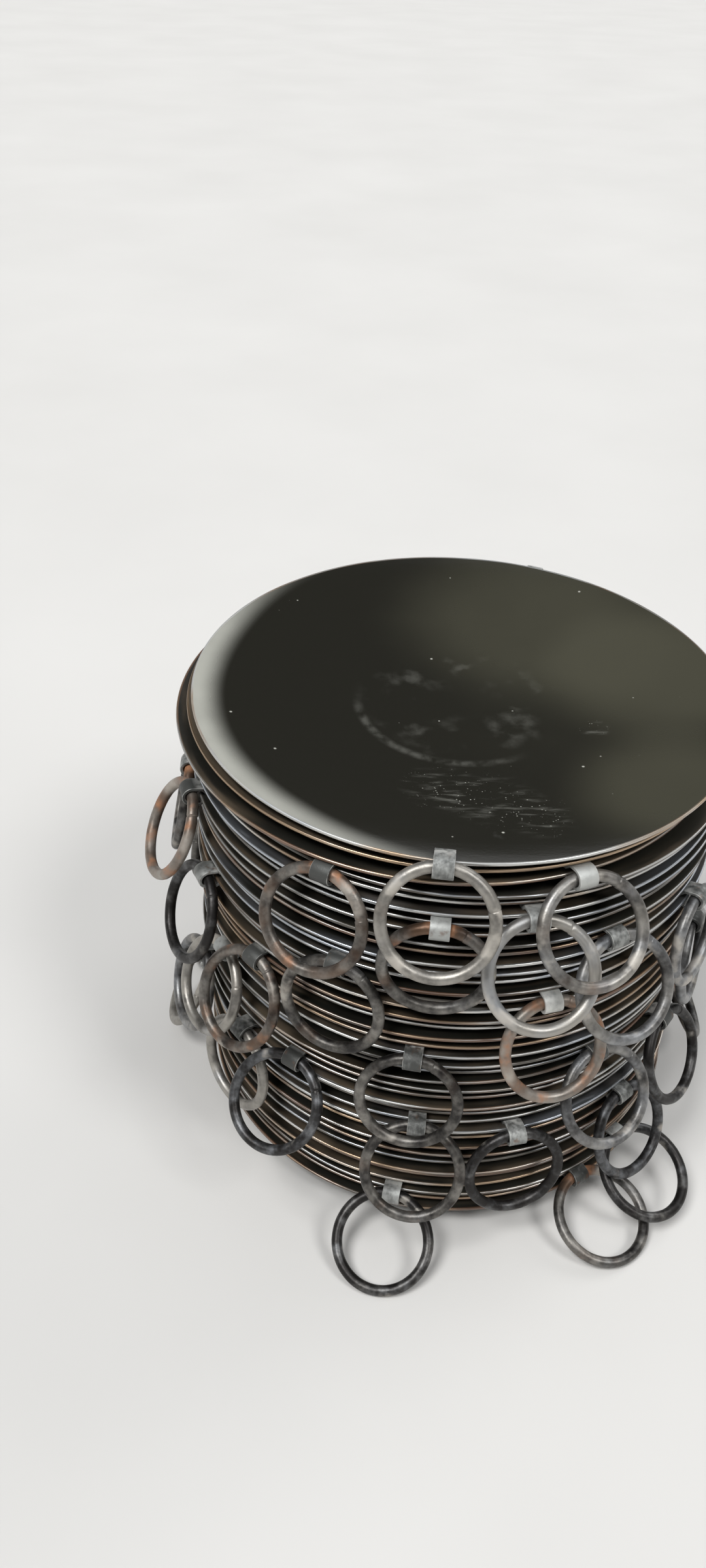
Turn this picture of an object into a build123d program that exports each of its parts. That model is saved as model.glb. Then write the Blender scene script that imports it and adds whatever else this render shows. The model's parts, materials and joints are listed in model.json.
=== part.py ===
from build123d import *
from math import acos, asin, atan, cos, degrees, hypot, radians, sin, sqrt
import os

# A stack of shallow griddle pans. Each is a dished disc of black sheet iron with one ring
# handle, a loop of round bar held at the rim by a folded strap. All sizes are millimetres.
# The bars are drawn with a few flat sides, because the stack holds so many of them.
# The floor is Z = 0 and the stack stands on the origin. An azimuth of 0 faces -Y, and
# azimuths grow towards +X.

# Pan
pan_diameter = 300.0
pan_sheet = 2.0
dish_depth = 14.0
flat_diameter = 70.0

# Ring handle
ring_bar = 6.5
bar_sides = 8
ring_outer = 60.0

# Strap that holds the ring
strap_sheet = 1.8
strap_width = 10.0
strap_leg = 8.5
strap_bend = 4.5
strap_shoulder = 1.0
leg_clearance = 0.15
bar_clearance = 0.5
rim_clearance = 0.7

# Stack
seat_clearance = 0.3
floor_clearance = 0.4
follow = 0.5
rock = 0.25
drift = 1.6
drift_turn = 137.5
shift_back = 6.5
shift_left = 4.5
shift_pans = 16
rim_band = 22.0
rim_inset = 1.0
turn_step = 5
strap_step = 0.25


class Place:
    """Where one pan's ring hangs: its azimuth and how far it leans out from upright."""

    def __init__(self, azimuth, lean, free=False):
        self.azimuth = azimuth
        self.lean = lean
        self.free = free


# One place for each pan, from the top pan down. A free ring has nothing hanging over it.
places = [
    Place(-6, 28, free=True),
    Place(158, 3, free=True),
    Place(23, 36, free=True),
    Place(-28, 22, free=True),
    Place(204, 2, free=True),
    Place(12, 36),
    Place(-6, 3),
    Place(-72, 28, free=True),
    Place(-86, 12),
    Place(29, 33),
    Place(112, 15, free=True),
    Place(56, 9, free=True),
    Place(-24, 10),
    Place(-64, 23),
    Place(17, 26, free=True),
    Place(176, 4, free=True),
    Place(-45, 29),
    Place(66, 10),
    Place(-104, 2, free=True),
    Place(-57, 24),
    Place(-9, 16, free=True),
    Place(140, 12, free=True),
    Place(31, 33, free=True),
    Place(-68, 18),
    Place(54, 26),
    Place(-34, 41, free=True),
    Place(-50, 11),
    Place(216, 6, free=True),
    Place(-6, 32),
    Place(14, 12),
    Place(42, 26),
    Place(88, 30, free=True),
    Place(-88, 30, free=True),
    Place(118, 20, free=True),
    Place(-112, 14, free=True),
    Place(186, 22, free=True),
    Place(44, 65),
    Place(-12, 60),
    Place(32, 70),
    Place(142, 77),
]

# Pans that were set down to one side, counted from the top pan down
shoved = {1: (-3.0, 0.5), 2: (-9.0, -1.0), 20: (2.5, -1.0)}

# What follows from the sizes above
pan_count = len(places)
pan_radius = pan_diameter / 2
flat_radius = flat_diameter / 2
sphere_height = (pan_radius**2 - flat_radius**2 - dish_depth**2) / (2 * dish_depth)
upper_radius = hypot(pan_radius, sphere_height)
lower_radius = upper_radius + pan_sheet
rim_slope = asin(pan_radius / upper_radius)

bar_radius = ring_bar / 2
ring_radius = ring_outer / 2 - bar_radius
ring_bulge = ring_radius - sqrt(ring_radius**2 - (strap_width / 2) ** 2)
ring_drop = 2 * ring_radius - ring_bulge / 2
eye_radius = bar_radius + ring_bulge / 2 + bar_clearance
knuckle_radius = eye_radius + strap_sheet
knuckle_reach = bar_radius + ring_bulge / 2 + rim_clearance
leg_inside = pan_sheet / 2 + leg_clearance
leg_outside = leg_inside + strap_sheet


def upper_face(distance):
    """Height of a pan's upper face above its rim, at a distance from the pan's middle."""
    return sphere_height - sqrt(upper_radius**2 - max(distance, flat_radius) ** 2)


def lower_face(distance):
    """Height of a pan's lower face above its rim, at a distance from the pan's middle."""
    return sphere_height - sqrt(lower_radius**2 - max(distance, flat_radius) ** 2)


def strap_half_height(along):
    """Half the strap's thickness at a distance out from the rim, negative over the sheet."""
    if along < -strap_bend:
        return leg_outside
    if along < -strap_shoulder:
        rise = (along + strap_bend) / (strap_bend - strap_shoulder)
        return leg_outside + rise * (knuckle_radius - leg_outside)
    if along < knuckle_reach:
        return knuckle_radius
    return sqrt(max(knuckle_radius**2 - (along - knuckle_reach) ** 2, 0.0))


def outward(azimuth):
    """Unit vector across the floor at an azimuth in degrees."""
    return sin(radians(azimuth)), -cos(radians(azimuth))


class Pan:
    """A pan as it lies in the stack: its middle, its rim height and its tilt."""

    def __init__(self, place, x, y, tilt_x, tilt_y):
        self.place = place
        self.x = x
        self.y = y
        self.z = 0.0
        self.tilt_x = tilt_x
        self.tilt_y = tilt_y

    def height(self, x, y, face):
        """Height of a face of the pan over a point of the floor."""
        east, north = x - self.x, y - self.y
        return self.z + self.tilt_x * east + self.tilt_y * north + face(hypot(east, north))

    def covers(self, x, y):
        """Whether the pan reaches over a point of the floor."""
        return hypot(x - self.x, y - self.y) <= pan_radius

    def location(self):
        """Frame of the pan, with its origin in the middle of the rim's upper edge."""
        turn = (degrees(self.tilt_y), -degrees(self.tilt_x), 0)
        return Location((self.x, self.y, self.z), turn)

    def rim_location(self):
        """Frame of the strap: X runs out along the sheet, Z is square to it."""
        turn = self.place.azimuth - 90
        middle = pan_sheet / 2
        to_rim = Location((pan_radius, 0, -middle), (0, -degrees(rim_slope), 0))
        return self.location() * Location((0, 0, 0), (0, 0, turn)) * to_rim

    def lean(self):
        """How far the ring leans out, which is more than its place says if it meets the floor."""
        out_x, out_y = outward(self.place.azimuth)
        slope = self.tilt_x * out_x + self.tilt_y * out_y
        hinge = (self.rim_location() * Location((knuckle_reach, 0, 0))).position
        room = hinge.Z - bar_radius - floor_clearance
        if room < ring_drop:
            return max(self.place.lean, degrees(acos(room / ring_drop) - atan(slope)))
        return self.place.lean

    def ring_location(self):
        """Frame of the ring: X points from the strap to the far side of the ring."""
        fall = 90 - self.lean() + degrees(rim_slope)
        hinge = Location((knuckle_reach, 0, 0), (0, fall, 0))
        to_middle = Location((ring_drop - ring_radius, 0, 0))
        return self.rim_location() * hinge * to_middle

    def strap_points(self, side):
        """Points on the outside of the strap, over the sheet (side 1) or under it (side -1)."""
        out_x, out_y = outward(self.place.azimuth)
        slope_cos, slope_sin = cos(rim_slope), sin(rim_slope)
        length = strap_leg + knuckle_reach + knuckle_radius
        for across in (-strap_width / 2, 0.0, strap_width / 2):
            for step in range(int(length / strap_step)):
                along = step * strap_step - strap_leg
                above = side * strap_half_height(along)
                reach = pan_radius + along * slope_cos - above * slope_sin
                rise = along * slope_sin + above * slope_cos - pan_sheet / 2
                x = self.x + out_x * reach - out_y * across
                y = self.y + out_y * reach + out_x * across
                yield x, y, self.z + self.tilt_x * (x - self.x) + self.tilt_y * (y - self.y) + rise


def rest_height(upper, lower):
    """Height at which a pan, lowered level with its own tilt, comes to rest on the one below."""
    needed = []
    for azimuth in range(0, 360, turn_step):
        out_x, out_y = outward(azimuth)
        for distance in (0.0, flat_radius, pan_radius - rim_band, pan_radius - rim_inset):
            x, y = upper.x + out_x * distance, upper.y + out_y * distance
            if lower.covers(x, y):
                gap = upper.height(x, y, lower_face) - lower.height(x, y, upper_face)
                needed.append(upper.z - gap)
    for x, y, z in lower.strap_points(1):
        if upper.covers(x, y):
            needed.append(upper.z - (upper.height(x, y, lower_face) - z))
    for x, y, z in upper.strap_points(-1):
        if lower.covers(x, y):
            needed.append(upper.z - (z - lower.height(x, y, upper_face)))
    return max(needed) + seat_clearance


def stacked_pans():
    """Every pan from the floor up, each resting on the strap or the pan below it."""
    pans = []
    tilt_x, tilt_y = 0.0, 0.0
    for number in reversed(range(pan_count)):
        place = places[number]
        turn_x, turn_y = outward(drift_turn * number)
        x, y = shoved.get(number, (drift * turn_x, drift * turn_y))
        share = min((pan_count - 1 - number) / shift_pans, 1.0)
        pan = Pan(place, x - share * shift_left, y + share * shift_back, tilt_x, tilt_y)
        if pans:
            pan.z = rest_height(pan, pans[-1])
        else:
            pan.z = -lower_face(0)
        pans.append(pan)
        prop_x, prop_y = outward(place.azimuth)
        tilt_x = follow * tilt_x + radians(rock) * prop_x
        tilt_y = follow * tilt_y + radians(rock) * prop_y
    pans.reverse()
    return pans


with BuildPart() as pan_blank:
    with BuildSketch(Plane.XZ) as pan_section:
        with BuildLine():
            half = (flat_radius + pan_radius) / 2
            inside, outside, edge = -dish_depth, lower_face(0), lower_face(pan_radius)
            Polyline((flat_radius, outside), (0, outside), (0, inside), (flat_radius, inside))
            ThreePointArc((flat_radius, inside), (half, upper_face(half)), (pan_radius, 0))
            Line((pan_radius, 0), (pan_radius, edge))
            ThreePointArc((pan_radius, edge), (half, lower_face(half)), (flat_radius, outside))
        make_face()
    revolve(axis=Axis.Z)

with BuildPart() as strap_blank:
    with BuildSketch(Plane.XZ) as strap_section:
        with Locations((knuckle_reach, 0)):
            Circle(knuckle_radius)
        with BuildLine():
            Polyline(
                (-strap_leg, -leg_outside),
                (-strap_leg, leg_outside),
                (-strap_bend, leg_outside),
                (-strap_shoulder, knuckle_radius),
                (knuckle_reach, knuckle_radius),
                (knuckle_reach, -knuckle_radius),
                (-strap_shoulder, -knuckle_radius),
                (-strap_bend, -leg_outside),
                close=True,
            )
        make_face()
        with Locations((knuckle_reach, 0)):
            Circle(eye_radius, mode=Mode.SUBTRACT)
        with BuildLine():
            Polyline(
                (-2 * strap_leg, -leg_inside),
                (-2 * strap_leg, leg_inside),
                (-strap_bend, leg_inside),
                (-strap_shoulder, eye_radius),
                (knuckle_reach, eye_radius),
                (knuckle_reach, -eye_radius),
                (-strap_shoulder, -eye_radius),
                (-strap_bend, -leg_inside),
                close=True,
            )
        make_face(mode=Mode.SUBTRACT)
    extrude(amount=strap_width / 2, both=True)

with BuildPart() as ring_blank:
    with BuildSketch(Plane.XZ) as bar_section:
        with Locations((ring_radius, 0)):
            RegularPolygon(bar_radius, bar_sides)
    revolve(axis=Axis.Z)


def write(solids, label):
    """Write one node: a single solid, or like solids that don't touch."""
    if len(solids) == 1:
        node = solids[0]
    else:
        node = Compound(children=solids)
    node.label = label
    export_step(node, f"parts/{label}.step")


def write_in_layers(blank, frames, labels):
    """Write copies of one blank as a few nodes, each holding a layer of the stack."""
    share = -(-len(frames) // len(labels))
    for layer, label in enumerate(labels):
        chosen = frames[layer * share:(layer + 1) * share]
        write([blank.moved(frame) for frame in chosen], label)


pans = stacked_pans()
os.makedirs("parts", exist_ok=True)

pan_frames = [pan.location() for pan in pans]
write([pan_blank.part.moved(pan_frames[0])], "top_pan")
write([pan_blank.part.moved(pan_frames[1])], "second_pan")
write([pan_blank.part.moved(pan_frames[-1])], "bottom_pan")
write_in_layers(pan_blank.part, pan_frames[2:-1], ["upper_pans", "middle_pans", "lower_pans"])

strap_frames = [pan.rim_location() for pan in pans]
write_in_layers(strap_blank.part, strap_frames, ["upper_straps", "middle_straps", "lower_straps"])

trapped = [pan.ring_location() for pan in pans if not pan.place.free]
write_in_layers(ring_blank.part, trapped, ["upper_rings", "middle_rings", "lower_rings"])
for number, pan in enumerate(pans, start=1):
    if pan.place.free:
        write([ring_blank.part.moved(pan.ring_location())], f"swinging_ring_{number:02d}")
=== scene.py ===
"""A stack of shallow iron griddle pans with ring handles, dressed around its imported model.

The pans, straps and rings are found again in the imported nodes, so that every dressed piece lies
where its plain solid does. Lengths are metres, the floor is Z = 0 and the stack faces -Y.
"""

import json
import logging
import math
import random
from dataclasses import dataclass
from enum import Enum
from typing import Any, Sequence

import bmesh
import bpy
import numpy as np
from mathutils import Matrix, Vector, noise


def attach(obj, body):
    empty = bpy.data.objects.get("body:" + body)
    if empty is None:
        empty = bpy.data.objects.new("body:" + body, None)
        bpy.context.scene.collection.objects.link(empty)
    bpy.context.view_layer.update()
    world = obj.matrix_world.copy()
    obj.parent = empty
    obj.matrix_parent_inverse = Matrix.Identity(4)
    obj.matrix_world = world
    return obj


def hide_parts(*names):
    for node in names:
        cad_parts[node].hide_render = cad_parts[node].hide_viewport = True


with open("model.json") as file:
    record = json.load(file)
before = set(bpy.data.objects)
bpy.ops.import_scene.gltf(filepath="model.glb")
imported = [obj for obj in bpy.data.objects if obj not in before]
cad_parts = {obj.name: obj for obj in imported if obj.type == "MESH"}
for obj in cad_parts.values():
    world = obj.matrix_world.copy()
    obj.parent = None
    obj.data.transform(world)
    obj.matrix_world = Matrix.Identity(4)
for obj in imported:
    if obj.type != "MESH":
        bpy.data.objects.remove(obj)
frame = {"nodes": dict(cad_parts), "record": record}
log = logging.getLogger("griddle_stack")

MM = 0.001
WELD_DISTANCE = 1e-6

# The share of its radius over which a speck or a spot keeps its full strength.
SPECK_CORE = 0.5
SPOT_CORE = 0.3

# Seeds of the chance draws, then the seeds of wave(): from one pan or ring to the next, and from
# one value of a pan or ring to another.
PAN_SEED, STRAP_SEED, RING_SEED = 5, 8, 12
PAN_STRIDE, RING_STRIDE = 1.37, 1.93
BARE_OFFSET, WARM_OFFSET, RUST_OFFSET = 20, 40, 50

# Where a ring's joint and its ovalness are read in the field of chance values.
JOINT_PLACE, OVAL_PLACE = (9.1, 2.4), (4.2, 0.3)

Colour = tuple[float, float, float]


def smooth_step(low: float, high: float, value: float) -> float:
    """Rise from 0 at low to 1 at high, level at both ends."""
    share = min(max((value - low) / (high - low), 0.0), 1.0)
    return share * share * (3 - 2 * share)


def wave(angle: float, seed: float, waves: float) -> float:
    """Give a smooth chance value from about -1 to 1 that closes on itself round a circle.

    Args:
        angle: Place on the circle, in radians.
        seed: Which of the endless circles of chance values is read.
        waves: About how many rises and falls go round the circle.

    Returns:
        The value at that angle.
    """
    reach = waves / 4
    return noise.noise(Vector((reach * math.cos(angle), reach * math.sin(angle), seed)))


class Shade:
    """A socket of a material, so that sums on it can be written as Python expressions."""

    def __init__(self, nodes: "Nodes", socket: bpy.types.NodeSocket) -> None:
        self.nodes = nodes
        self.socket = socket

    def _math(self, operation: str, *terms: Any) -> "Shade":
        """Add a Math node that works on these terms."""
        node = self.nodes.add("ShaderNodeMath", {"operation": operation}, dict(enumerate(terms)))
        return Shade(self.nodes, node.outputs[0])

    def __add__(self, other: Any) -> "Shade":
        """Add."""
        return self._math("ADD", self, other)

    def __radd__(self, other: Any) -> "Shade":
        """Add, the other way round."""
        return self._math("ADD", other, self)

    def __sub__(self, other: Any) -> "Shade":
        """Take away."""
        return self._math("SUBTRACT", self, other)

    def __rsub__(self, other: Any) -> "Shade":
        """Take away from a plain value."""
        return self._math("SUBTRACT", other, self)

    def __mul__(self, other: Any) -> "Shade":
        """Multiply."""
        return self._math("MULTIPLY", self, other)

    def __rmul__(self, other: Any) -> "Shade":
        """Multiply, the other way round."""
        return self._math("MULTIPLY", other, self)

    def __truediv__(self, other: Any) -> "Shade":
        """Divide."""
        return self._math("DIVIDE", self, other)

    def __pow__(self, other: Any) -> "Shade":
        """Raise to a power."""
        return self._math("POWER", self, other)

    def __abs__(self) -> "Shade":
        """Drop the sign."""
        return self._math("ABSOLUTE", self)

    def ramp(self, low: float, high: float) -> "Shade":
        """Rise smoothly from 0 where the value is low to 1 where it is high."""
        settings = {"interpolation_type": "SMOOTHSTEP"}
        inputs = {"Value": self, "From Min": low, "From Max": high}
        node = self.nodes.add("ShaderNodeMapRange", settings, inputs)
        return Shade(self.nodes, node.outputs["Result"])

    def bell(self, middle: float, half: float) -> "Shade":
        """Rise smoothly to 1 at a middle value, from 0 at half a width on each side of it."""
        return 1 - abs(self - middle).ramp(0.0, half)


class Nodes:
    """The node tree of one material or world, built call by call."""

    def __init__(self, owner: bpy.types.Material | bpy.types.World) -> None:
        owner.use_nodes = True
        self.owner = owner
        self.tree = owner.node_tree
        self.shader = self.tree.nodes.get("Principled BSDF") or self.tree.nodes["Background"]

    def add(self, kind: str, settings: dict[str, Any], inputs: dict[Any, Any]) -> bpy.types.Node:
        """Add one node.

        Args:
            kind: The node's type.
            settings: Properties that are set before its sockets.
            inputs: What goes into its sockets, by name or number: a value, a Shade or a socket.

        Returns:
            The new node.
        """
        node = self.tree.nodes.new(kind)
        for name, value in settings.items():
            setattr(node, name, value)
        for name, value in inputs.items():
            self.feed(node.inputs[name], value)
        return node

    def feed(self, socket: bpy.types.NodeSocket, value: Any) -> None:
        """Link a Shade or a socket to a socket, or set the socket's own value."""
        if isinstance(value, Shade):
            self.tree.links.new(value.socket, socket)
        elif isinstance(value, bpy.types.NodeSocket):
            self.tree.links.new(value, socket)
        elif socket.type == "RGBA":
            socket.default_value = (*value, 1.0)
        else:
            socket.default_value = value

    def place(self, scale: Sequence[float] = (1.0, 1.0, 1.0)) -> bpy.types.NodeSocket:
        """Object coordinates, stretched by a scale along each axis."""
        coordinates = self.add("ShaderNodeTexCoord", {}, {}).outputs["Object"]
        inputs = {"Vector": coordinates, "Scale": scale}
        return self.add("ShaderNodeMapping", {}, inputs).outputs[0]

    def attribute(self, name: str) -> Shade:
        """A piece's own point values."""
        node = self.add("ShaderNodeAttribute", {"attribute_name": name}, {})
        return Shade(self, node.outputs["Fac"])

    def combine(self, x: Any, y: Any, z: Any) -> bpy.types.NodeSocket:
        """Make a place of three values."""
        return self.add("ShaderNodeCombineXYZ", {}, {0: x, 1: y, 2: z}).outputs[0]

    def noise(self, scale: float, detail: float = 3.0, where: Any = None) -> Shade:
        """Cloudy chance values from 0 to 1, with so many clouds to the metre."""
        inputs = {"Vector": where or self.place(), "Scale": scale, "Detail": detail}
        return Shade(self, self.add("ShaderNodeTexNoise", {}, inputs).outputs[0])

    def specks(self, scale: float, size: float) -> Shade:
        """Small round dots, 1 in their middles, one in each cell of a chance pattern."""
        inputs = {"Vector": self.place(), "Scale": scale}
        distance = Shade(self, self.add("ShaderNodeTexVoronoi", {}, inputs).outputs["Distance"])
        return 1 - distance.ramp(size * SPECK_CORE, size)

    def spot(self, where: Any, middle: Sequence[float], size: float) -> Shade:
        """A soft round spot, 1 in its middle and 0 from its edge outwards."""
        settings = {"operation": "DISTANCE"}
        node = self.add("ShaderNodeVectorMath", settings, {0: where, 1: (*middle, 0.0)})
        return 1 - Shade(self, node.outputs["Value"]).ramp(size * SPOT_CORE, size)

    def mix(self, share: Any, first: Any, second: Any) -> bpy.types.NodeSocket:
        """Mix two colours, all first at 0 and all second at 1."""
        settings = {"data_type": "RGBA", "clamp_factor": True}
        return self.add("ShaderNodeMix", settings, {0: share, 6: first, 7: second}).outputs[2]

    def bump(self, height: Shade, distance: float) -> bpy.types.NodeSocket:
        """Turn a height from 0 to 1, times a distance in metres, into a normal."""
        inputs = {"Height": height, "Distance": distance, "Strength": 1.0}
        return self.add("ShaderNodeBump", {}, inputs).outputs[0]

    def finish(self, **sockets: Any) -> Any:
        """Feed the shader's sockets, named with underscores for spaces, and give the owner."""
        for name, value in sockets.items():
            self.feed(self.shader.inputs[name.replace("_", " ")], value)
        return self.owner


@dataclass(frozen=True)
class PanIron:
    """Sheet iron with a black oiled skin, worn through to bare metal along the rim.

    Scales are clouds to the metre. Dots, patches and the spots of painted sheen are places in a
    pan, from its middle, the last two with their radius. Besides dust and wear, the colour holds
    painted
    light: a pale painted reflection inside the top pan's rim, painted olive sheen on its dish, and
    painted bluish to brownish sheen on the faces near the rims.
    """

    black: Colour = (0.013, 0.0125, 0.0095)
    olive: Colour = (0.06, 0.058, 0.041)
    scale: Colour = (0.075, 0.066, 0.052)
    scorched: Colour = (0.13, 0.07, 0.042)
    # Colour of the dust, and of the painted reflection on the top pan's dish.
    dust_and_reflection: Colour = (0.46, 0.46, 0.41)
    steel: Colour = (0.44, 0.47, 0.51)
    silver: Colour = (0.62, 0.62, 0.6)
    tan: Colour = (0.42, 0.31, 0.21)
    # The two colours of the painted sheen on the pans' faces near their rims, bluish and brownish.
    bluish: Colour = (0.085, 0.09, 0.098)
    brownish: Colour = (0.105, 0.08, 0.054)
    # Reaches of the painted reflection, a pale crescent inside the top pan's rim.
    painted_reflection_from: float = 131 * MM
    painted_reflection_to: float = 147 * MM
    painted_reflection_narrowing: float = 15 * MM
    sheen_band_from: float = 139 * MM
    sheen_band_to: float = 148 * MM
    ragged_from: float = 144 * MM
    ragged_to: float = 149 * MM
    scuff_radius: float = 58 * MM
    scuff_half: float = 4 * MM
    inner_half: float = 28 * MM
    dot_size: float = 1 * MM
    bump_height: float = 0.06 * MM
    cloud_scale: float = 9.0
    hue_scale: float = 22.0
    wear_scale: float = 30.0
    scorch_scale: float = 35.0
    smear_scale: float = 55.0
    line_scale: float = 420.0
    speck_scale: float = 620.0
    grain_scale: float = 900.0
    speck_size: float = 0.27
    stray_scale: float = 75.0
    stray_size: float = 0.05
    line_length: float = 1.5
    streaks: tuple[float, float, float] = (14.0, 14.0, 500.0)
    gloss: float = 0.06
    metallic: float = 0.85
    refraction: float = 1.7
    dots: tuple[tuple[float, float], ...] = (
        (-0.015, 0.045), (-0.126, -0.030), (-0.100, -0.059),
        (0.080, 0.114), (0.014, -0.121), (0.061, -0.060),
    )
    patches: tuple[tuple[float, float, float], ...] = (
        (-0.012, -0.082, 0.026), (0.012, -0.092, 0.028),
        (0.033, -0.106, 0.022), (0.072, -0.024, 0.010),
    )
    # Soft spots of painted olive sheen on the top pan's dish.
    sheen_spots: tuple[tuple[float, float, float], ...] = (
        (0.12, 0.025, 0.085), (0.105, -0.085, 0.07), (0.045, 0.085, 0.11),
    )

    def _dust_and_reflection(self, nodes: Nodes, across: Shade, along: Shade, reach: Shade) -> Shade:
        """Dust in the top pan's dish: specks, a round scuff and dots; and a painted reflection,
        a pale crescent at one side.

        Args:
            nodes: The material's nodes.
            across: How far right of the pan's middle a point lies.
            along: How far behind the pan's middle it lies.
            reach: How far from the middle it lies.

        Returns:
            The share of dust and of the painted reflection, 0 on the other pans.
        """
        flat = nodes.combine(across, along, 0.0)
        fine = nodes.specks(self.speck_scale, self.speck_size)
        fine = fine * nodes.noise(260.0, 3.0).ramp(0.53, 0.62)
        streaks = nodes.noise(70.0, 6.0, nodes.place((1.0, 4.0, 1.0))).ramp(0.5, 0.75)
        cover: Any = 0.0
        for x, y, size in self.patches:
            cover = nodes.spot(flat, (x, y), size) + cover
        side = ((along * -0.85 - across * 0.5) / reach).ramp(0.35, 0.9)
        scuff = reach.bell(self.scuff_radius, self.scuff_half) * side
        scuff = scuff * nodes.noise(110.0, 4.0).ramp(0.35, 0.7)
        inner = reach.bell(self.scuff_radius * 0.6, self.inner_half)
        inner = inner * nodes.noise(60.0, 5.0).ramp(0.5, 0.75)
        # Painted reflection: a pale crescent inside the rim at the left of the top pan's dish,
        # narrowing round to the front.
        reflection_side = ((across * -0.95 - along * 0.32) / reach).ramp(0.15, 0.95)
        inward = reach - (1 - reflection_side) * self.painted_reflection_narrowing
        painted_reflection = inward.ramp(self.painted_reflection_from, self.painted_reflection_to) * reflection_side
        painted_reflection = painted_reflection * (nodes.noise(40.0, 3.0) * 0.3 + 0.66)
        dots: Any = 0.0
        for middle in self.dots:
            dots = nodes.spot(flat, middle, self.dot_size) + dots
        stray = nodes.specks(self.stray_scale, self.stray_size)
        stray = stray * nodes.noise(30.0).ramp(0.5, 0.6) * 0.6
        marks = cover * (fine * 0.6 + streaks * 0.16) + scuff * 0.16 + inner * 0.1
        return (marks + dots * 0.9 + stray + painted_reflection) * nodes.attribute("top")

    def material(self) -> bpy.types.Material:
        """Build the material."""
        nodes = Nodes(bpy.data.materials.new("pan_iron"))
        edge, bare, warm = (nodes.attribute(name) for name in ("edge", "bare", "warm"))
        across, along = nodes.attribute("across"), nodes.attribute("along")
        reach = (across * across + along * along) ** 0.5
        right, behind = across / reach * self.line_length, along / reach * self.line_length
        lines = nodes.noise(1.0, 2.0, nodes.combine(reach * self.line_scale, right, behind))
        clouds = nodes.noise(self.cloud_scale, 4.0)
        smear = nodes.noise(self.smear_scale, 5.0, nodes.place((1.0, 3.0, 1.0)))
        grain = nodes.noise(self.grain_scale, 2.0)
        # Dust and the painted reflection on the top pan's dish, as one share.
        dust_and_reflection = self._dust_and_reflection(nodes, across, along, reach)
        # Painted sheen: the top pan's dish lighter and more olive towards its right and in soft
        # spots, over a cloudy tone of its own.
        flat = nodes.combine(across, along, 0.0)
        glow: Any = clouds * 0.35
        for x, y, size in self.sheen_spots:
            glow = nodes.spot(flat, (x, y), size) * 0.5 + glow
        under = 1 - nodes.attribute("top")
        tone_and_sheen = (glow + across * 1.2).ramp(0.1, 1.05) * (1 - under * 0.8)
        skin = nodes.mix(tone_and_sheen, self.black, self.olive)
        scorch = (warm + nodes.noise(self.scorch_scale, 4.0) - 0.5).ramp(0.3, 0.7)
        skin = nodes.mix(edge.ramp(0.1, 0.4), skin, nodes.mix(scorch, self.scale, self.scorched))
        hue = warm + nodes.noise(self.hue_scale, 3.0) - 0.5
        streaks = nodes.noise(1.0, 3.0, nodes.place(self.streaks))
        # Painted sheen: an irregular band of bluish to brownish mid-tone on the faces near each
        # rim, on every face but the top pan's dish.
        sheen_band = reach.ramp(self.sheen_band_from, self.sheen_band_to) * under
        sheen_band = sheen_band * (streaks * 1.9 + bare * 0.4 - 0.9).ramp(0.0, 0.6)
        sheen = nodes.mix(hue.ramp(-0.05, 0.35), self.bluish, self.brownish)
        skin = nodes.mix(sheen_band * 0.9, skin, sheen)
        skin = nodes.mix(dust_and_reflection, skin, self.dust_and_reflection)
        ragged = reach.ramp(self.ragged_from, self.ragged_to) * (streaks - 0.4) * 1.3 * under
        worn = edge + ragged + bare * 0.6 + nodes.noise(self.wear_scale, 4.0) * 0.7 - 0.65
        worn = worn.ramp(0.55, 0.8)
        metal = nodes.mix(hue.ramp(0.0, 0.3), self.steel, self.silver)
        metal = nodes.mix(hue.ramp(0.4, 0.75), metal, self.tan)
        rough = self.gloss + smear * 0.06 + lines * 0.04 + dust_and_reflection * 0.35
        return nodes.finish(
            Base_Color=nodes.mix(worn, skin, metal),
            Metallic=worn * self.metallic,
            Roughness=rough + under * (1 - worn) * 0.3 + worn * 0.2,
            IOR=self.refraction,
            Normal=nodes.bump(grain * 0.3 + smear * 0.7, self.bump_height),
        )


@dataclass(frozen=True)
class StrapIron:
    """Bare folded sheet iron, grey and scuffed along its edges. Scales are clouds to the metre."""

    dark: Colour = (0.07, 0.072, 0.068)
    grey: Colour = (0.42, 0.43, 0.415)
    bright: Colour = (0.66, 0.66, 0.63)
    rust: Colour = (0.16, 0.085, 0.05)
    bump_height: float = 0.2 * MM
    rust_scale: float = 180.0
    cloud_scale: float = 240.0
    drawn_scale: float = 500.0
    grain_scale: float = 1600.0
    metallic: float = 0.45
    gloss: float = 0.42

    def material(self) -> bpy.types.Material:
        """Build the material."""
        nodes = Nodes(bpy.data.materials.new("strap_iron"))
        edge = nodes.attribute("edge")
        tone = nodes.attribute("tone")
        clouds = nodes.noise(self.cloud_scale, 5.0)
        grain = nodes.noise(self.grain_scale, 3.0)
        drawn = nodes.noise(self.drawn_scale, 3.0, nodes.place((1.0, 1.0, 0.15)))
        light = (clouds * 0.6 + drawn * 0.4 + tone - 0.5).ramp(0.25, 0.75)
        body = nodes.mix(light, self.dark, self.grey)
        rusted = nodes.noise(self.rust_scale, 4.0).ramp(0.6, 0.75)
        body = nodes.mix(rusted * 0.6, body, self.rust)
        body = nodes.mix(tone.ramp(0.7, 1.0) * clouds.ramp(0.2, 0.6), body, self.bright)
        body = nodes.mix(edge * clouds.ramp(0.3, 0.6), body, self.bright)
        return nodes.finish(
            Base_Color=body,
            Metallic=self.metallic,
            Roughness=self.gloss + grain * 0.25,
            Normal=nodes.bump(clouds * 0.6 + grain * 0.4, self.bump_height),
        )


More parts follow.
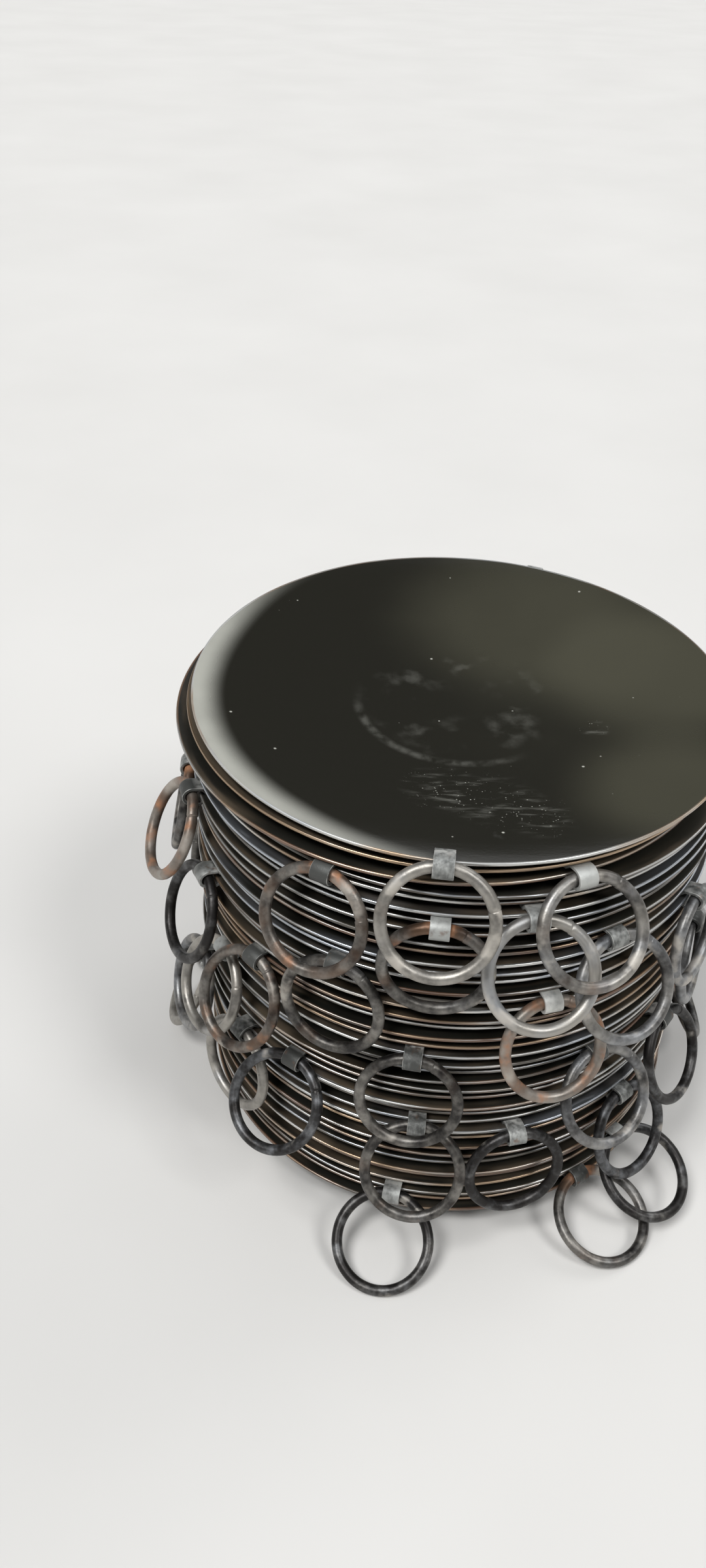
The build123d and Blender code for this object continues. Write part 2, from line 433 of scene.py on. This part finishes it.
@dataclass(frozen=True)
class RingIron:
    """Bare bar iron, from near black to pale grey, browned and rusting in places.

    Scales are clouds to the metre.
    """

    dark: Colour = (0.028, 0.026, 0.025)
    grey: Colour = (0.38, 0.36, 0.325)
    steel: Colour = (0.37, 0.385, 0.405)
    chalk: Colour = (0.56, 0.52, 0.46)
    brown: Colour = (0.13, 0.075, 0.045)
    rust: Colour = (0.36, 0.17, 0.085)
    bump_height: float = 0.18 * MM
    cool_scale: float = 48.0
    chalk_scale: float = 52.0
    brown_scale: float = 60.0
    cloud_scale: float = 80.0
    rust_scale: float = 140.0
    mottle_scale: float = 170.0
    pit_scale: float = 420.0
    grain_scale: float = 1300.0
    metallic: float = 0.8
    gloss: float = 0.27

    def material(self) -> bpy.types.Material:
        """Build the material."""
        nodes = Nodes(bpy.data.materials.new("ring_iron"))
        tone, rust, cool = (nodes.attribute(name) for name in ("tone", "rust", "cool"))
        clouds = nodes.noise(self.cloud_scale, 5.0)
        grain = nodes.noise(self.grain_scale, 3.0)
        pits = nodes.noise(self.pit_scale, 4.0)
        mottle = nodes.noise(self.mottle_scale, 4.0)
        steely = (cool + nodes.noise(self.cool_scale, 3.0) * 1.4 - 0.7).ramp(0.1, 0.8)
        pale = nodes.mix(steely, self.grey, self.steel)
        light = (mottle * 0.9 + pits * 0.3 + tone - 0.6).ramp(0.0, 1.0)
        body = nodes.mix(light, self.dark, pale)
        chalky = (nodes.noise(self.chalk_scale, 4.0) + tone * 0.12 - 0.04).ramp(0.58, 0.7)
        body = nodes.mix(chalky * 0.6, body, self.chalk)
        brownish = (nodes.noise(self.brown_scale, 5.0) * 0.8 + rust - 0.4).ramp(0.25, 0.7)
        body = nodes.mix(brownish * 0.85, body, self.brown)
        rusted = (nodes.noise(self.rust_scale, 5.0) * 0.9 + rust - 0.45).ramp(0.45, 0.8)
        body = nodes.mix(rusted, body, self.rust)
        return nodes.finish(
            Base_Color=body,
            Metallic=self.metallic - rusted * 0.6 - brownish * 0.15 - chalky * 0.3,
            Roughness=self.gloss + grain * 0.12 + mottle * 0.2 + chalky * 0.15 + rusted * 0.2,
            Normal=nodes.bump(clouds * 0.3 + pits * 0.4 + grain * 0.3, self.bump_height),
        )


def loose_solids(node: str) -> list[np.ndarray]:
    """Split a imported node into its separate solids.

    Args:
        node: The node's name.

    Returns:
        The points of each solid, one row to a point.
    """
    shape = bmesh.new()
    shape.from_mesh(frame["nodes"][node].data)
    bmesh.ops.remove_doubles(shape, verts=shape.verts, dist=WELD_DISTANCE)
    waiting = set(shape.verts)
    solids = []
    while waiting:
        front = [waiting.pop()]
        found = list(front)
        while front:
            for edge in front.pop().link_edges:
                for vert in edge.verts:
                    if vert in waiting:
                        waiting.remove(vert)
                        front.append(vert)
                        found.append(vert)
        solids.append(np.array([vert.co for vert in found]))
    shape.free()
    return solids


def seat_matrix(x: Vector, z: Vector, origin: Vector) -> Matrix:
    """Make the frame with this X and Z, turned square to each other, at this origin."""
    z = z.normalized()
    y = z.cross(x).normalized()
    x = y.cross(z)
    turn = Matrix((x, y, z)).transposed().to_4x4()
    return Matrix.Translation(origin) @ turn


def flat_axis(points: np.ndarray) -> Vector:
    """The direction in which a round flat solid is thinnest, pointing up."""
    spread = points - points.mean(0)
    axis = Vector(np.linalg.eigh(spread.T @ spread)[1][:, 0])
    return axis if axis.z > 0 else -axis


@dataclass
class PanSeat:
    """Where one pan lies: its frame has the middle of the rim's upper edge as origin."""

    node: str
    matrix: Matrix

    @classmethod
    def read(cls, node: str, points: np.ndarray) -> "PanSeat":
        """Find the seat from the points of the pan's plain solid."""
        axis = flat_axis(points)
        centre = points.mean(0)
        reach = np.linalg.norm(np.cross(points - centre, axis), axis=1)
        rim = points[reach > reach.max() - MM]
        middle = Vector(rim.mean(0))
        top = float(((rim - np.array(middle)) @ np.array(axis)).max())
        return cls(node, seat_matrix(Vector((1, 0, 0)), axis, middle + axis * top))


@dataclass
class StrapSeat:
    """Where one strap clasps a rim: X runs out along the sheet and Z is square to it."""

    node: str
    matrix: Matrix
    number: int


@dataclass
class RingSeat:
    """Where one ring hangs: X points from its strap to its far side and Z along its axis."""

    node: str
    matrix: Matrix
    radius: float
    bar: float
    number: int


@dataclass(frozen=True)
class PanLook:
    """How far a pan's rim is worn to bare metal, and how tan that metal is, both 0 to 1."""

    bare: float
    warm: float


@dataclass
class PanShape:
    """A shallow dished pan pressed from sheet, a little steeper towards its rim."""

    radius: float = 150 * MM
    sheet: float = 2 * MM
    depth: float = 14 * MM
    flat: float = 35 * MM
    lip: float = 0.7 * MM
    skin_end: float = 0.8 * MM
    flat_blend: float = 25 * MM
    upturn: float = 0.8 * MM
    upturn_from: float = 126 * MM
    warp: float = 0.16 * MM
    warp_from: float = 110 * MM
    warp_waves: float = 14
    bare_drift: float = 0.7
    bare_waves: float = 16
    warm_drift: float = 0.35
    warm_waves: float = 10

    def __post_init__(self) -> None:
        """Work out the sphere that the dish is part of."""
        self.height = (self.radius**2 - self.flat**2 - self.depth**2) / (2 * self.depth)
        self.sphere = math.hypot(self.radius, self.height)
        self.slope = math.asin(self.radius / self.sphere)

    def _bowl(self, distance: float, sheet: float) -> float:
        """Height over the rim of that sphere, which runs softly into the flat middle."""
        past = distance**2 - self.flat**2
        past = (past + math.hypot(past, self.flat_blend**2)) / 2
        return self.height - math.sqrt((self.sphere + sheet) ** 2 - self.flat**2 - past)

    def dip(self, distance: float) -> float:
        """How far the dish lies under that sphere, because its rim turns up."""
        share = max(distance - self.upturn_from, 0.0) / (self.radius - self.upturn_from)
        rise = (self._bowl(distance, 0.0) + self.depth) / self.depth
        return self.upturn * (rise - share * share)

    def face(self, distance: float, sheet: float) -> float:
        """Height over the rim of the upper face, or of the lower one if sheet is given."""
        return self._bowl(distance, sheet) - self.dip(distance)

    def profile(self, steps: int) -> list[tuple[float, float, float]]:
        """Outline from the middle of the dish round the rim to the middle below.

        Args:
            steps: How many points cover each face.

        Returns:
            Distance from the axis, height and bareness of each point.
        """
        out, lip, mid = self.radius, self.lip, self.face(self.radius, self.sheet) / 2
        skin = out - lip - self.skin_end
        reaches = [skin * (n + 1) / steps for n in range(steps)]
        upper = [(r, self.face(r, 0.0), 0.0) for r in reaches]
        lower = [(r, self.face(r, self.sheet), 0.0) for r in reversed(reaches)]
        drop = self.face(out - lip, 0.0)
        edge = [
            (out - lip, drop, 0.75),
            (out - lip * 0.5, drop * 0.35, 1.0),
            (out - lip * 0.12, mid + (drop - mid) * 0.55, 0.8),
            (out, mid, 0.4),
            (out - lip * 0.12, mid * 1.6, 0.6),
            (out - lip * 0.5, mid * 1.95, 0.75),
            (out - lip, self.face(out - lip, self.sheet), 0.4),
        ]
        start = [(0.0, self.face(0.0, 0.0), 0.0)]
        end = [(0.0, self.face(0.0, self.sheet), 0.0)]
        return start + upper + edge + lower + end

    def build(
        self, seat: Matrix, look: PanLook, seed: float, around: int, steps: int
    ) -> bmesh.types.BMesh:
        """Turn the outline into a pan and lay it on its seat.

        Args:
            seat: The pan's frame.
            look: How its rim is worn.
            seed: Picks the pan's own warp and the drift of its tones.
            around: Segments round the pan.
            steps: Points from its middle to its rim.

        Returns:
            The pan, with its edge, bare, warm, across and along values.
        """
        shape = bmesh.new()
        names = ("edge", "bare", "warm", "across", "along")
        layers = {name: shape.verts.layers.float.new(name) for name in names}
        verts = []
        for reach, height, edge in self.profile(steps):
            vert = shape.verts.new((reach, 0.0, height))
            vert[layers["edge"]] = edge
            verts.append(vert)
        edges = [shape.edges.new(pair) for pair in zip(verts, verts[1:])]
        bmesh.ops.spin(
            shape, geom=verts + edges, cent=(0, 0, 0), axis=(0, 0, 1), dvec=(0, 0, 0),
            angle=math.tau, steps=around, use_merge=True, use_duplicate=False,
        )
        bmesh.ops.remove_doubles(shape, verts=shape.verts, dist=WELD_DISTANCE)
        bmesh.ops.recalc_face_normals(shape, faces=shape.faces)
        for vert in shape.verts:
            angle = math.atan2(vert.co.y, vert.co.x)
            share = smooth_step(self.warp_from, self.radius, math.hypot(vert.co.x, vert.co.y))
            vert.co.z += self.warp * share * wave(angle, seed, self.warp_waves)
            bare_wave = wave(angle, seed + BARE_OFFSET, self.bare_waves)
            warm_wave = wave(angle, seed + WARM_OFFSET, self.warm_waves)
            vert[layers["bare"]] = look.bare + self.bare_drift * bare_wave
            vert[layers["warm"]] = look.warm + self.warm_drift * warm_wave
            vert[layers["across"]], vert[layers["along"]] = vert.co.x, vert.co.y
        shape.transform(seat)
        return shape


@dataclass
class StrapShape:
    """A strap of sheet folded round the ring's bar, with its legs along both faces of a pan."""

    pan: PanShape
    sheet: float = 1.8 * MM
    width: float = 10 * MM
    leg: float = 8.5 * MM
    bend: float = 4.5 * MM
    shoulder: float = 1 * MM
    leg_middle: float = 2.05 * MM
    knuckle: float = 4.87 * MM
    reach: float = 4.186 * MM
    round_edge: float = 0.3 * MM
    arc_steps: int = 14
    sharp_from: float = math.radians(60)
    edge_from: float = math.radians(25)

    def centre_line(self) -> list[Vector]:
        """Middle of the sheet from the end of the upper leg round to the end of the lower one."""
        top = [
            (-self.leg, self.leg_middle),
            (-self.bend, self.leg_middle),
            (-self.shoulder, self.knuckle),
        ]
        arc = []
        for step in range(self.arc_steps + 1):
            angle = math.pi / 2 - math.pi * step / self.arc_steps
            x, z = self.knuckle * math.cos(angle), self.knuckle * math.sin(angle)
            arc.append((self.reach + x, z))
        bottom = [(x, -z) for x, z in reversed(top)]
        points = []
        for x, z in top + arc + bottom:
            points.append(Vector((x, z - self.pan.dip(self.pan.radius + min(x, 0.0)))))
        return points

    def outline(self) -> list[Vector]:
        """The strap's section: its outer line one way and its inner line back."""
        line = self.centre_line()
        ahead = [line[min(n + 1, len(line) - 1)] - line[max(n - 1, 0)] for n in range(len(line))]
        half = [Vector((-step.y, step.x)).normalized() * (self.sheet / 2) for step in ahead]
        outer = [point + aside for point, aside in zip(line, half)]
        inner = [point - aside for point, aside in zip(line, half)]
        return outer + inner[::-1]

    def build(self, seat: Matrix, tone: float) -> bmesh.types.BMesh:
        """Fold the strap and put it on its seat.

        Args:
            seat: The strap's frame.
            tone: The strap's own tone, from 0 dark to 1 bright.

        Returns:
            The strap, with its edge and tone values.
        """
        shape = bmesh.new()
        ring = [shape.verts.new((point.x, -self.width / 2, point.y)) for point in self.outline()]
        across = bmesh.ops.extrude_face_region(shape, geom=[shape.faces.new(ring)])["geom"]
        moved = [item for item in across if isinstance(item, bmesh.types.BMVert)]
        bmesh.ops.translate(shape, verts=moved, vec=(0, self.width, 0))
        bmesh.ops.recalc_face_normals(shape, faces=shape.faces)
        sharp = [item for item in shape.edges if item.calc_face_angle(0.0) > self.sharp_from]
        bmesh.ops.bevel(
            shape, geom=sharp, offset=self.round_edge, affect="EDGES", segments=2, profile=0.5,
            material=-1, clamp_overlap=True,
        )
        edge_layer, tone_layer = [shape.verts.layers.float.new(name) for name in ("edge", "tone")]
        for vert in shape.verts:
            turn = max((item.calc_face_angle(0.0) for item in vert.link_edges), default=0.0)
            vert[edge_layer] = 1.0 if turn > self.edge_from else 0.0
            vert[tone_layer] = tone
        shape.transform(seat)
        return shape


@dataclass(frozen=True)
class RingLook:
    """A ring's tone from black to pale, its rust, its coolness and the scorch by its strap."""

    tone: float
    rust: float
    cool: float
    scorch: float = 0.0


class RingTone(Enum):
    """The looks that the rings have."""

    BLACK = RingLook(0.12, 0.08, 0.5)
    VIOLET = RingLook(0.24, 0.05, 0.9)
    OLIVE = RingLook(0.3, 0.22, 0.1)
    GREY = RingLook(0.5, 0.12, 0.5)
    BEIGE = RingLook(0.72, 0.12, 0.1)
    STEEL = RingLook(0.6, 0.24, 0.3)
    PALE = RingLook(0.95, 0.1, 0.3)
    BROWN = RingLook(0.4, 0.42, 0.0)
    SCORCHED = RingLook(0.32, 0.25, 0.2, 0.55)
    TAN = RingLook(0.85, 0.48, 0.0)


# Segments round a pan and points from its middle to its rim.
PAN_DETAIL = {"top_pan": (256, 64), "second_pan": (220, 24)}
PLAIN_DETAIL = (180, 8)

# How chance spreads the looks: few rims are bare, and those further down are fewer and more tan.
BARE_POWER = 1.6
WARM_RANGE = (0.0, 0.6)
WARM_BELOW = 0.2
STRAP_RANGE = (0.15, 0.7)

# What the photograph shows, by the pan's number from the top. The others are left to chance.
TOP_LOOKS = {1: PanLook(0.9, 0.45), 2: PanLook(0.9, 0.85), 3: PanLook(0.3, 0.6)}

STRAP_TONES = {
    1: 0.5, 3: 0.8, 4: 0.15, 6: 0.6, 7: 0.7, 8: 0.2, 10: 0.45, 13: 0.1, 15: 1.0, 17: 0.2,
    21: 0.3, 23: 0.3, 26: 0.15, 29: 0.35, 30: 0.5, 38: 0.6, 39: 0.3,
}

FRONT_RINGS = {
    1: RingTone.BEIGE, 3: RingTone.STEEL, 4: RingTone.BROWN, 6: RingTone.PALE,
    7: RingTone.SCORCHED, 8: RingTone.TAN, 10: RingTone.GREY, 12: RingTone.GREY,
    13: RingTone.OLIVE, 14: RingTone.BLACK, 15: RingTone.TAN, 17: RingTone.BROWN,
    21: RingTone.OLIVE, 23: RingTone.GREY, 25: RingTone.BLACK, 26: RingTone.VIOLET,
    29: RingTone.OLIVE, 30: RingTone.BLACK, 31: RingTone.VIOLET, 37: RingTone.BLACK,
    38: RingTone.BLACK, 39: RingTone.SCORCHED,
}


@dataclass
class RingShape:
    """A ring bent from round bar, with its two ends butted and welded.

    The three bounds round the joint are in bar radii, and its place is in half turns.
    """

    around: int = 96
    sides: int = 18
    bar_share: float = 0.96
    oval: float = 0.4 * MM
    dent: float = 0.05 * MM
    joint_cuts: tuple[float, ...] = (
        -2.5 * MM, -1 * MM, -0.45 * MM, 0.0, 0.45 * MM, 1 * MM, 2.5 * MM,
    )
    cut_bound: float = 3
    joint_bound: float = 5
    section_bound: float = 1.5
    joint_at: float = 0.75
    joint_drift: float = 0.3
    groove: float = 0.12
    groove_half: float = 0.4 * MM
    swell: float = 0.03
    swell_half: float = 3 * MM
    step: float = 0.25 * MM
    step_fade: float = 12 * MM
    dents: float = 180
    tone_drift: float = 0.34
    tone_waves: float = 9
    rust_drift: float = 0.22
    rust_waves: float = 10
    scorch_reach: float = 0.45

    def _bend(self, seat: RingSeat, bar: float) -> bmesh.types.BMesh:
        """Spin the bar's section into a plain ring."""
        shape = bmesh.new()
        turn = Matrix.Rotation(math.pi / 2, 4, "X")
        made = bmesh.ops.create_circle(shape, segments=self.sides, radius=bar, matrix=turn)
        bmesh.ops.translate(shape, verts=made["verts"], vec=(seat.radius, 0, 0))
        bmesh.ops.spin(
            shape, geom=list(shape.verts) + list(shape.edges), cent=(0, 0, 0), axis=(0, 0, 1),
            dvec=(0, 0, 0), angle=math.tau, steps=self.around, use_merge=True, use_duplicate=False,
        )
        bmesh.ops.remove_doubles(shape, verts=shape.verts, dist=WELD_DISTANCE)
        bmesh.ops.recalc_face_normals(shape, faces=shape.faces)
        return shape

    def _weld(self, shape: bmesh.types.BMesh, middle: Vector, ahead: Vector, bar: float) -> None:
        """Mark the joint: a fine groove between two slightly swollen ends that don't quite meet.

        Args:
            shape: The plain ring.
            middle: Where the joint is, on the bar's centre line.
            ahead: The way along the bar there.
            bar: The bar's radius.
        """
        bound = self.cut_bound * bar
        for offset in self.joint_cuts:
            faces = [
                face for face in shape.faces if (face.calc_center_median() - middle).length < bound
            ]
            edges = {edge for face in faces for edge in face.edges}
            verts = {vert for face in faces for vert in face.verts}
            bmesh.ops.bisect_plane(
                shape, geom=[*verts, *edges, *faces], dist=WELD_DISTANCE,
                plane_co=middle + ahead * offset, plane_no=ahead,
            )
        for vert in shape.verts:
            away = vert.co - middle
            if away.length > self.joint_bound * bar:
                continue
            along = away.dot(ahead)
            section = away - ahead * along
            grow = self.swell * math.exp(-((along / self.swell_half) ** 2))
            grow -= self.groove * math.exp(-((along / self.groove_half) ** 2))
            vert.co += section * (grow if section.length < self.section_bound * bar else 0.0)
            if along < 0:
                vert.co += middle.normalized() * (-self.step * math.exp(along / self.step_fade))

    def build(self, seat: RingSeat, look: RingLook, seed: float) -> bmesh.types.BMesh:
        """Bend the ring and hang it on its seat.

        Args:
            seat: The ring's place and size.
            look: Its tone and rust.
            seed: Picks its own dents and the place of its joint.

        Returns:
            The ring, with its tone, rust and cool values.
        """
        bar = seat.bar * self.bar_share
        shape = self._bend(seat, bar)
        drift = self.joint_drift * noise.noise(Vector((seed, *JOINT_PLACE)))
        joint = math.pi * (self.joint_at + drift)
        out = Vector((math.cos(joint), math.sin(joint), 0.0))
        self._weld(shape, out * seat.radius, Vector((-out.y, out.x, 0.0)), bar)
        layers = [shape.verts.layers.float.new(name) for name in ("tone", "rust", "cool")]
        squeeze = self.oval * abs(noise.noise(Vector((seed, *OVAL_PLACE))))
        for vert in shape.verts:
            angle = math.atan2(vert.co.y, vert.co.x)
            out = Vector((math.cos(angle), math.sin(angle), 0.0))
            section = vert.co - out * seat.radius
            dent = noise.noise(vert.co * self.dents + Vector((seed, 0, 0)))
            vert.co += section * (self.dent / bar * dent)
            vert.co -= out * (squeeze * math.sin(angle) ** 2)
            from_strap = math.pi - abs(angle)
            scorch = look.scorch * math.exp(-((from_strap / self.scorch_reach) ** 2))
            rust_wave = wave(angle, seed + RUST_OFFSET, self.rust_waves)
            rust = look.rust + self.rust_drift * rust_wave + scorch
            tone = look.tone + self.tone_drift * wave(angle, seed, self.tone_waves)
            for layer, value in zip(layers, (tone, rust, look.cool)):
                vert[layer] = value
        shape.transform(seat.matrix)
        return shape


class Stack:
    """The whole stack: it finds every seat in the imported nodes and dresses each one."""

    def __init__(self) -> None:
        self.pan = PanShape()
        self.strap = StrapShape(self.pan)
        self.ring = RingShape()
        self.pans = self._read_pans()
        self.straps = self._read_straps()
        self.rings = self._read_rings()
        bodies = frame["record"]["behaviour"]["bodies"]
        self.body_of = {node: body for body, nodes in bodies.items() for node in nodes}

    def _read_pans(self) -> list[PanSeat]:
        """Find the pans, from the top one down."""
        seats = []
        for node in frame["nodes"]:
            if "pan" in node:
                seats += [PanSeat.read(node, points) for points in loose_solids(node)]
        return sorted(seats, key=lambda seat: -seat.matrix.translation.z)

    def _read_straps(self) -> list[StrapSeat]:
        """Find the straps, in the order of their pans."""
        seats = []
        for node in frame["nodes"]:
            if "strap" in node:
                seats += [self._strap_seat(node, points) for points in loose_solids(node)]
        return sorted(seats, key=lambda seat: seat.number)

    def _strap_seat(self, node: str, points: np.ndarray) -> StrapSeat:
        """Find a strap's seat on the rim that it lies nearest to."""
        middle = Vector((points.min(0) + points.max(0)) / 2)

        def miss(number: int) -> float:
            """How far the strap is from the rim of one pan."""
            local = self.pans[number].matrix.inverted() @ middle
            return math.hypot(math.hypot(local.x, local.y) - self.pan.radius, local.z)

        number = min(range(len(self.pans)), key=miss)
        matrix = self.pans[number].matrix
        local = matrix.inverted() @ middle
        to_rim = Matrix.Translation((self.pan.radius, 0, -self.pan.sheet / 2))
        tilt = Matrix.Rotation(-self.pan.slope, 4, "Y")
        turn = Matrix.Rotation(math.atan2(local.y, local.x), 4, "Z")
        return StrapSeat(node, matrix @ turn @ to_rim @ tilt, number + 1)

    def _read_rings(self) -> list[RingSeat]:
        """Find the rings, in the order of their pans."""
        seats = []
        for node in frame["nodes"]:
            if "ring" in node:
                seats += [self._ring_seat(node, points) for points in loose_solids(node)]
        return sorted(seats, key=lambda seat: seat.number)

    def _ring_seat(self, node: str, points: np.ndarray) -> RingSeat:
        """Find a ring's seat from its points and the strap whose knuckle it passes through."""
        axis = flat_axis(points)
        centre = Vector((points.min(0) + points.max(0)) / 2)
        reach = np.linalg.norm(np.cross(points - points.mean(0), axis), axis=1)
        radius = float(reach.max() + reach.min()) / 2
        bar = float(reach.max() - reach.min()) / 2

        def knuckle(strap: StrapSeat) -> Vector:
            """Middle of the bar where it passes through a strap."""
            return strap.matrix @ Vector((self.strap.reach, 0, 0))

        def miss(strap: StrapSeat) -> float:
            """How far a strap's knuckle is from the ring's centre circle."""
            away = knuckle(strap) - centre
            return abs(away.dot(axis)) + abs(away.length - radius)

        strap = min(self.straps, key=miss)
        matrix = seat_matrix(centre - knuckle(strap), axis, centre)
        return RingSeat(node, matrix, radius, bar, strap.number)

    def _piece(
        self, node: str, parts: list[bmesh.types.BMesh], material: bpy.types.Material
    ) -> None:
        """Join finished shapes into the piece that stands for one node.

        Args:
            node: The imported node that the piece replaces.
            parts: The shapes, which are used up.
            material: What they are made of.
        """
        name = f"dressed_{node}"
        mesh = bpy.data.meshes.new(name)
        whole = bmesh.new()
        for part in parts:
            part.to_mesh(mesh)
            part.free()
            whole.from_mesh(mesh)
        whole.to_mesh(mesh)
        whole.free()
        mesh.shade_smooth()
        mesh.materials.append(material)
        piece = bpy.data.objects.new(name, mesh)
        bpy.context.scene.collection.objects.link(piece)
        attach(piece, self.body_of[node])
        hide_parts(node)
        log.info("%s: %d triangles", name, sum(len(face.vertices) - 2 for face in mesh.polygons))

    def dress_pans(self) -> None:
        """Make every pan, finer where its dish shows."""
        material = PanIron().material()
        chance = random.Random(PAN_SEED)
        shapes: dict[str, list[bmesh.types.BMesh]] = {}
        for number, seat in enumerate(self.pans):
            around, steps = PAN_DETAIL.get(seat.node, PLAIN_DETAIL)
            share = number / len(self.pans)
            bare = chance.random() ** (BARE_POWER + share)
            warm = chance.uniform(*WARM_RANGE) + share * WARM_BELOW
            look = TOP_LOOKS.get(number + 1, PanLook(bare, warm))
            made = self.pan.build(seat.matrix, look, number * PAN_STRIDE, around, steps)
            made.normal_update()
            top = made.verts.layers.float.new("top")
            for vert in made.verts:
                vert[top] = 1.0 if number == 0 and vert.normal.z > 0 else 0.0
            shapes.setdefault(seat.node, []).append(made)
        for node, parts in shapes.items():
            self._piece(node, parts, material)

    def dress_straps(self) -> None:
        """Make every strap."""
        material = StrapIron().material()
        chance = random.Random(STRAP_SEED)
        shapes: dict[str, list[bmesh.types.BMesh]] = {}
        for seat in self.straps:
            tone = chance.uniform(*STRAP_RANGE)
            made = self.strap.build(seat.matrix, STRAP_TONES.get(seat.number, tone))
            shapes.setdefault(seat.node, []).append(made)
        for node, parts in shapes.items():
            self._piece(node, parts, material)

    def dress_rings(self) -> None:
        """Make every ring, each with a look of its own."""
        material = RingIron().material()
        chance = random.Random(RING_SEED)
        common = [
            RingTone.BLACK, RingTone.OLIVE, RingTone.GREY,
            RingTone.BEIGE, RingTone.BROWN, RingTone.SCORCHED,
        ]
        shapes: dict[str, list[bmesh.types.BMesh]] = {}
        for seat in self.rings:
            tone = FRONT_RINGS.get(seat.number) or chance.choice(common)
            made = self.ring.build(seat, tone.value, seat.number * RING_STRIDE)
            shapes.setdefault(seat.node, []).append(made)
        for node, parts in shapes.items():
            self._piece(node, parts, material)


@dataclass(frozen=True)
class Lamp:
    """A far round lamp: the way to it, how bright it is and how many degrees wide it looks."""

    name: str
    towards: tuple[float, float, float]
    strength: float
    spread: float


LAMPS = (
    Lamp("key", (-0.62, -0.58, 1.45), 2.3, 22),
    Lamp("fill", (1.2, -0.9, 1.95), 1.1, 18),
    Lamp("back", (1.3, 1.1, 1.5), 0.6, 30),
)


@dataclass
class Studio:
    """The plain pale floor, the soft lamps and the camera at the photograph's place."""

    aim: Vector
    floor_half: float = 14.0
    floor_colour: Colour = (0.68, 0.67, 0.65)
    floor_shade: Colour = (0.6, 0.59, 0.57)
    floor_scale: float = 3.0
    floor_roughness: float = 0.85
    horizon: Colour = (0.6, 0.6, 0.6)
    dim: Colour = (0.06, 0.059, 0.053)
    ceiling: Colour = (0.8, 0.84, 0.9)
    horizon_end: tuple[float, float] = (0.2, 0.34)
    ceiling_start: tuple[float, float] = (0.78, 0.96)
    eye: tuple[float, float, float] = (-58.7 * MM, -551.4 * MM, 358.3 * MM)
    pitch: float = math.radians(38.136)
    roll: float = math.radians(-2.163)
    lens: float = 27.0
    sensor: float = 36.0
    clip_start: float = 10 * MM

    def floor(self) -> None:
        """Lay the floor."""
        nodes = Nodes(bpy.data.materials.new("floor"))
        clouds = nodes.noise(self.floor_scale, 4.0)
        colour = nodes.mix(clouds, self.floor_colour, self.floor_shade)
        material = nodes.finish(Base_Color=colour, Roughness=self.floor_roughness)
        shape = bmesh.new()
        bmesh.ops.create_grid(shape, x_segments=1, y_segments=1, size=self.floor_half)
        mesh = bpy.data.meshes.new("floor")
        shape.to_mesh(mesh)
        shape.free()
        mesh.materials.append(material)
        floor = bpy.data.objects.new("floor", mesh)
        bpy.context.scene.collection.objects.link(floor)

    def hang(self, lamp: Lamp) -> None:
        """Hang one lamp."""
        data = bpy.data.lights.new(lamp.name, "SUN")
        data.energy = lamp.strength
        data.angle = math.radians(lamp.spread)
        hung = bpy.data.objects.new(lamp.name, data)
        bpy.context.scene.collection.objects.link(hung)
        hung.location = self.aim + Vector(lamp.towards)
        hung.rotation_euler = (-Vector(lamp.towards)).to_track_quat("-Z", "Y").to_euler()

    def light(self) -> None:
        """Light the stack softly from the left, and more faintly from the right and behind."""
        nodes = Nodes(bpy.data.worlds.new("studio"))
        upward = nodes.add("ShaderNodeTexCoord", {}, {}).outputs["Generated"]
        split = nodes.add("ShaderNodeSeparateXYZ", {}, {0: upward})
        rise = Shade(nodes, split.outputs["Z"])
        glow = nodes.mix(rise.ramp(*self.horizon_end), self.horizon, self.dim)
        glow = nodes.mix(rise.ramp(*self.ceiling_start), glow, self.ceiling)
        bpy.context.scene.world = nodes.finish(Color=glow, Strength=1.0)
        for lamp in LAMPS:
            self.hang(lamp)

    def camera(self) -> None:
        """Put the camera where the photograph was taken from."""
        right = Vector((1, 0, 0))
        ahead = Vector((0, math.cos(self.pitch), -math.sin(self.pitch)))
        down = ahead.cross(right)
        across = right * math.cos(self.roll) + down * math.sin(self.roll)
        below = down * math.cos(self.roll) - right * math.sin(self.roll)
        data = bpy.data.cameras.new("camera")
        data.lens = self.lens
        data.sensor_width = self.sensor
        data.clip_start = self.clip_start
        camera = bpy.data.objects.new("camera", data)
        bpy.context.scene.collection.objects.link(camera)
        turn = Matrix((across, -below, -ahead)).transposed().to_4x4()
        camera.matrix_world = Matrix.Translation(self.aim + Vector(self.eye)) @ turn
        bpy.context.scene.camera = camera

    def build(self) -> None:
        """Set up the studio."""
        self.floor()
        self.light()
        self.camera()
        bpy.context.scene.view_settings.view_transform = "Standard"


def main() -> None:
    """Dress the stack and set up the studio."""
    logging.basicConfig(level=logging.INFO, format="%(message)s")
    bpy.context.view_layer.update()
    stack = Stack()
    stack.dress_pans()
    stack.dress_straps()
    stack.dress_rings()
    Studio(stack.pans[0].matrix.translation).build()


if __name__ == "__main__":
    main()
